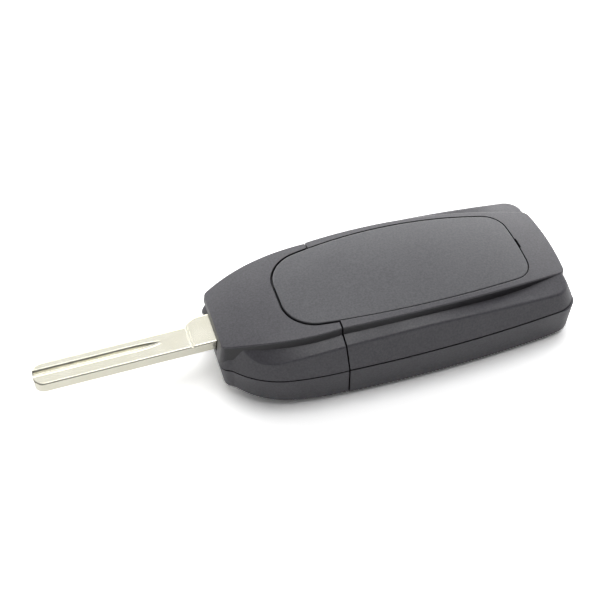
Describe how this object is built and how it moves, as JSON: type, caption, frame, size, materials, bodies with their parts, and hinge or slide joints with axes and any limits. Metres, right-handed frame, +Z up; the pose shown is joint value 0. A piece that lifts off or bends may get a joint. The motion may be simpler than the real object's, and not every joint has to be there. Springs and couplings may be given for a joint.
{
  "type": "flip key remote",
  "caption": "Flip key remote shell: a two-module fob with a folding metal blade, rounded battery cover, underside buttons, release button and keyring bar.",
  "frame": {"origin": "middle of the whole outline with the blade out, on the plane the fob lies on", "axes": "+X from the blade's tip towards the keyring end, +Y towards the side the blade folds round, +Z up towards the battery cover"},
  "size_m": [0.1176, 0.0372, 0.0182],
  "materials": {
    "housing_plastic": "fine-grained matt moulding",
    "cover_plastic": "fine-grained matt moulding",
    "button_plastic": "matt",
    "blade_metal": "nickel-plated, soft sheen",
    "hub_metal": "die-cast zinc",
    "spring_steel": "bright drawn wire",
    "screw_steel": "zinc-plated",
    "release_metal": "plated",
    "pad_rubber": "matt silicone",
    "board_laminate": "coated laminate",
    "chip_plastic": "moulded",
    "switch_plastic": "moulded",
    "cell_steel": "nickel-plated can",
    "contact_metal": "tinned spring sheet",
    "transponder_block": "moulded block"
  },
  "bodies": {
    "housing": {"head_top_shell": "housing_plastic", "head_bottom_shell": "housing_plastic", "body_top_shell": "housing_plastic", "body_bottom_shell": "housing_plastic", "head_screws": "screw_steel", "body_screws": "screw_steel", "transponder": "transponder_block", "circuit_board": "board_laminate", "board_chips": "chip_plastic", "tact_switches": "switch_plastic", "coin_cell": "cell_steel", "contact_negative": "contact_metal", "contact_positive": "contact_metal", "button_pad": "pad_rubber", "keyring_bar": "screw_steel"},
    "blade_unit": {"blade": "blade_metal", "blade_hub": "hub_metal", "blade_roll_pin": "spring_steel", "flip_spring": "spring_steel"},
    "release": {"release_button": "release_metal"},
    "cover": {"battery_cover": "cover_plastic"},
    "lock_cap": {"lock_button": "button_plastic"},
    "unlock_cap": {"unlock_button": "button_plastic"},
    "trunk_cap": {"trunk_button": "button_plastic"}
  },
  "joints": [
    {"name": "blade_flip", "type": "hinge", "parent": "housing", "child": "blade_unit", "pos_m": [-0.0076, 0.0056, 0.01143], "axis": [0, 0, -1], "range_deg": [0, 180]},
    {"name": "release_press", "type": "slide", "parent": "blade_unit", "child": "release", "axis": [0, 0, 1], "range_m": [0, 0.0018], "stiffness_N_per_m": 900, "springref_m": -0.001, "deforming": ["flip_spring"]},
    {"name": "cover_lift", "type": "slide", "parent": "housing", "child": "cover", "axis": [0, 0, 1], "range_m": [0, 0.01]},
    {"name": "lock_press", "type": "slide", "parent": "housing", "child": "lock_cap", "axis": [0, 0, 1], "range_m": [0, 0.00045], "stiffness_N_per_m": 2500, "springref_m": -0.0002, "deforming": ["button_pad"]},
    {"name": "unlock_press", "type": "slide", "parent": "housing", "child": "unlock_cap", "axis": [0, 0, 1], "range_m": [0, 0.00045], "stiffness_N_per_m": 2500, "springref_m": -0.0002, "deforming": ["button_pad"]},
    {"name": "trunk_press", "type": "slide", "parent": "housing", "child": "trunk_cap", "axis": [0, 0, 1], "range_m": [0, 0.00045], "stiffness_N_per_m": 2500, "springref_m": -0.0002, "deforming": ["button_pad"]}
  ]
}
